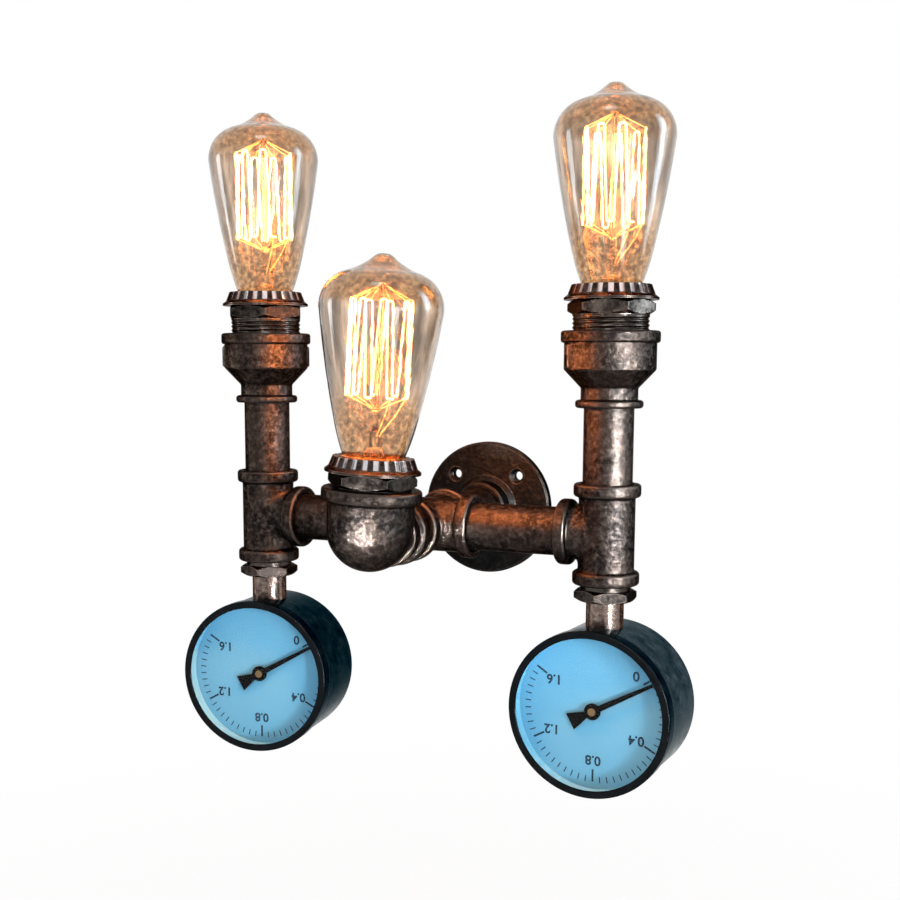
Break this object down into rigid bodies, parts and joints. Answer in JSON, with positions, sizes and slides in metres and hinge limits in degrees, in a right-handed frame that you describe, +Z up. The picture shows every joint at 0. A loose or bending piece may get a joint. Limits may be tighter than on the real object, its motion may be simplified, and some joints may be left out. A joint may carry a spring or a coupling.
{
  "type": "wall lamp",
  "caption": "Industrial wall lamp built of iron pipe fittings: a round wall flange, a cross with side arms, upright bulbs in hex bushings, and round dial gauges hung below.",
  "frame": {"origin": "middle of the wall flange's back face, on the wall", "axes": "+Z up, +Y into the wall, +X to the right of someone who faces the wall"},
  "size_m": [0.3056, 0.2066, 0.3771],
  "materials": {
    "cast_iron_dark": "dark oiled casting, rubbed to bronze at the beads",
    "pipe_steel": "aged steel with a copper-brown patina",
    "ring_bronze": "dark bronze, worn at the teeth",
    "porcelain": "glazed porcelain",
    "shell_brass": "thin rolled brass",
    "black_insulator": "black vitrite with a solder tip",
    "bulb_glass_amber": "thin amber-tinted glass",
    "stem_glass": "clear glass mount",
    "filament_wire": "glowing tungsten wire",
    "gauge_black": "gloss black enamel",
    "gauge_brass": "plain turned brass",
    "window_glass": "flat clear glass",
    "dial_paint": "pale blue dial paint",
    "pointer_paint": "matt black, reddish at the tip"
  },
  "bodies": {
    "frame": {"wall_flange": "cast_iron_dark", "wall_nipple": "pipe_steel", "cross": "cast_iron_dark", "front_nipple": "pipe_steel", "front_elbow": "cast_iron_dark", "arm_nipple_left": "pipe_steel", "tee_left": "cast_iron_dark", "riser_pipe_left": "pipe_steel", "reducer_left": "cast_iron_dark", "gauge_bushing_left": "cast_iron_dark", "gauge_socket_left": "gauge_brass", "gauge_case_left": "gauge_black", "gauge_bezel_left": "gauge_black", "gauge_window_left": "window_glass", "gauge_dial_left": "dial_paint", "gauge_movement_left": "gauge_brass", "arm_nipple_right": "pipe_steel", "tee_right": "cast_iron_dark", "riser_pipe_right": "pipe_steel", "reducer_right": "cast_iron_dark", "gauge_bushing_right": "cast_iron_dark", "gauge_socket_right": "gauge_brass", "gauge_case_right": "gauge_black", "gauge_bezel_right": "gauge_black", "gauge_window_right": "window_glass", "gauge_dial_right": "dial_paint", "gauge_movement_right": "gauge_brass", "hex_bushing_left": "cast_iron_dark", "lampholder_left": "porcelain", "screw_shell_left": "shell_brass", "centre_contact_left": "shell_brass", "shade_ring_left": "ring_bronze", "hex_bushing_front": "cast_iron_dark", "lampholder_front": "porcelain", "screw_shell_front": "shell_brass", "centre_contact_front": "shell_brass", "shade_ring_front": "ring_bronze", "hex_bushing_right": "cast_iron_dark", "lampholder_right": "porcelain", "screw_shell_right": "shell_brass", "centre_contact_right": "shell_brass", "shade_ring_right": "ring_bronze"},
    "bulb_rise_left": {"bulb_contact_left": "black_insulator"},
    "bulb_left": {"bulb_cap_left": "shell_brass", "bulb_glass_left": "bulb_glass_amber", "bulb_stem_left": "stem_glass", "filament_left": "filament_wire"},
    "bulb_rise_front": {"bulb_contact_front": "black_insulator"},
    "bulb_front": {"bulb_cap_front": "shell_brass", "bulb_glass_front": "bulb_glass_amber", "bulb_stem_front": "stem_glass", "filament_front": "filament_wire"},
    "bulb_rise_right": {"bulb_contact_right": "black_insulator"},
    "bulb_right": {"bulb_cap_right": "shell_brass", "bulb_glass_right": "bulb_glass_amber", "bulb_stem_right": "stem_glass", "filament_right": "filament_wire"},
    "pointer_left": {"gauge_pointer_left": "pointer_paint"},
    "pointer_right": {"gauge_pointer_right": "pointer_paint"}
  },
  "joints": [
    {"name": "bulb_rise_left", "type": "slide", "parent": "frame", "child": "bulb_rise_left", "axis": [0, 0, 1], "range_m": [0, 0.0218]},
    {"name": "bulb_turn_left", "type": "hinge", "parent": "bulb_rise_left", "child": "bulb_left", "pos_m": [-0.106, -0.099, 0.0959], "axis": [0, 0, 1], "range_deg": [0, 2160]},
    {"name": "bulb_rise_front", "type": "slide", "parent": "frame", "child": "bulb_rise_front", "axis": [0.0628, 0, 0.998], "range_m": [0, 0.0218]},
    {"name": "bulb_turn_front", "type": "hinge", "parent": "bulb_rise_front", "child": "bulb_front", "pos_m": [0.00041, -0.1745, 0.00649], "axis": [0.0628, 0, 0.998], "range_deg": [0, 2160]},
    {"name": "bulb_rise_right", "type": "slide", "parent": "frame", "child": "bulb_rise_right", "axis": [0, 0, 1], "range_m": [0, 0.0218]},
    {"name": "bulb_turn_right", "type": "hinge", "parent": "bulb_rise_right", "child": "bulb_right", "pos_m": [0.106, -0.099, 0.0959], "axis": [0, 0, 1], "range_deg": [0, 2160]},
    {"name": "pointer_turn_left", "type": "hinge", "parent": "frame", "child": "pointer_left", "pos_m": [-0.106, -0.099, -0.0953], "axis": [-0.1132, 0.9936, 0], "range_deg": [-16, 254], "stiffness_Nm_per_rad": 0.01},
    {"name": "pointer_turn_right", "type": "hinge", "parent": "frame", "child": "pointer_right", "pos_m": [0.106, -0.099, -0.0953], "axis": [0.0698, 0.9976, 0], "range_deg": [-16, 254], "stiffness_Nm_per_rad": 0.01}
  ],
  "couplings": [
    {"joint": "bulb_rise_left", "follows": "bulb_turn_left", "m_per_rad": 0.00057757},
    {"joint": "bulb_rise_front", "follows": "bulb_turn_front", "m_per_rad": 0.00057757},
    {"joint": "bulb_rise_right", "follows": "bulb_turn_right", "m_per_rad": 0.00057757}
  ]
}
